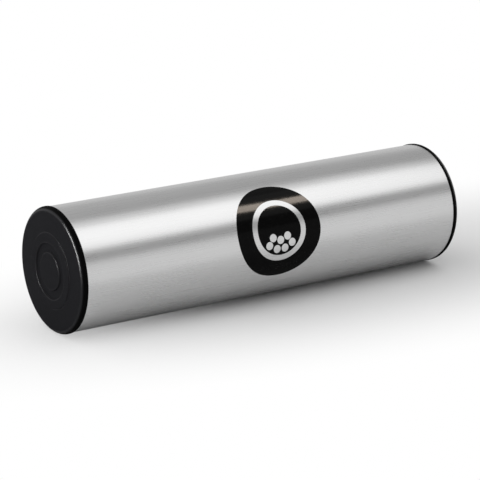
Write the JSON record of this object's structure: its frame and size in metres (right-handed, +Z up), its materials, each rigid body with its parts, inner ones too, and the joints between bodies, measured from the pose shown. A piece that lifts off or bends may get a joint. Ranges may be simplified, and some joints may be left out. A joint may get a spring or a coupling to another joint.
{
  "type": "ganza shaker",
  "caption": "Metal tube shaker: a satin aluminium tube closed by pressed-in plastic end caps, with loose steel shot that rattles along and around its bore.",
  "frame": {"origin": "on the surface that the shaker lies on, under the tube's axis at mid-length", "axes": "+X along the tube from the left cap to the right one, +Z up, and the print faces -Y"},
  "size_m": [0.232, 0.0642, 0.0643],
  "materials": {
    "tube_metal": "satin, with a fine drawn grain along the tube",
    "cap_plastic": "black, fine moulded texture on the face and a smoother rim",
    "shot_steel": "smooth ground balls",
    "print_ink": "glossy black ink on the tube"
  },
  "bodies": {
    "shell": {"tube": "tube_metal", "left_end_cap": "cap_plastic", "right_end_cap": "cap_plastic"},
    "shot_bed": {"shot_lower_row_3": "shot_steel"},
    "shot_lower_row_1": {"shot_lower_row_1": "shot_steel"},
    "shot_lower_row_2": {"shot_lower_row_2": "shot_steel"},
    "shot_lower_row_4": {"shot_lower_row_4": "shot_steel"},
    "shot_lower_row_5": {"shot_lower_row_5": "shot_steel"},
    "shot_lower_row_6": {"shot_lower_row_6": "shot_steel"},
    "shot_upper_row_1": {"shot_upper_row_1": "shot_steel"},
    "shot_upper_row_2": {"shot_upper_row_2": "shot_steel"},
    "shot_upper_row_3": {"shot_upper_row_3": "shot_steel"}
  },
  "joints": [
    {"name": "shot_swirl", "type": "hinge", "parent": "shell", "child": "shot_bed", "pos_m": [0, 0, 0.03215], "axis": [1, 0, 0], "continuous": true},
    {"name": "shot_lower_row_1_slide", "type": "slide", "parent": "shot_bed", "child": "shot_lower_row_1", "axis": [1, 0, 0], "range_m": [-0.0702, 0.0702]},
    {"name": "shot_lower_row_2_slide", "type": "slide", "parent": "shot_bed", "child": "shot_lower_row_2", "axis": [1, 0, 0], "range_m": [-0.06517, 0.06517]},
    {"name": "shot_lower_row_4_slide", "type": "slide", "parent": "shot_bed", "child": "shot_lower_row_4", "axis": [1, 0, 0], "range_m": [-0.06014, 0.06014]},
    {"name": "shot_lower_row_5_slide", "type": "slide", "parent": "shot_bed", "child": "shot_lower_row_5", "axis": [1, 0, 0], "range_m": [-0.06517, 0.06517]},
    {"name": "shot_lower_row_6_slide", "type": "slide", "parent": "shot_bed", "child": "shot_lower_row_6", "axis": [1, 0, 0], "range_m": [-0.0702, 0.0702]},
    {"name": "shot_upper_row_1_slide", "type": "slide", "parent": "shot_bed", "child": "shot_upper_row_1", "axis": [1, 0, 0], "range_m": [-0.085, 0.085]},
    {"name": "shot_upper_row_2_slide", "type": "slide", "parent": "shot_bed", "child": "shot_upper_row_2", "axis": [1, 0, 0], "range_m": [-0.07997, 0.07997]},
    {"name": "shot_upper_row_3_slide", "type": "slide", "parent": "shot_bed", "child": "shot_upper_row_3", "axis": [1, 0, 0], "range_m": [-0.085, 0.085]}
  ]
}
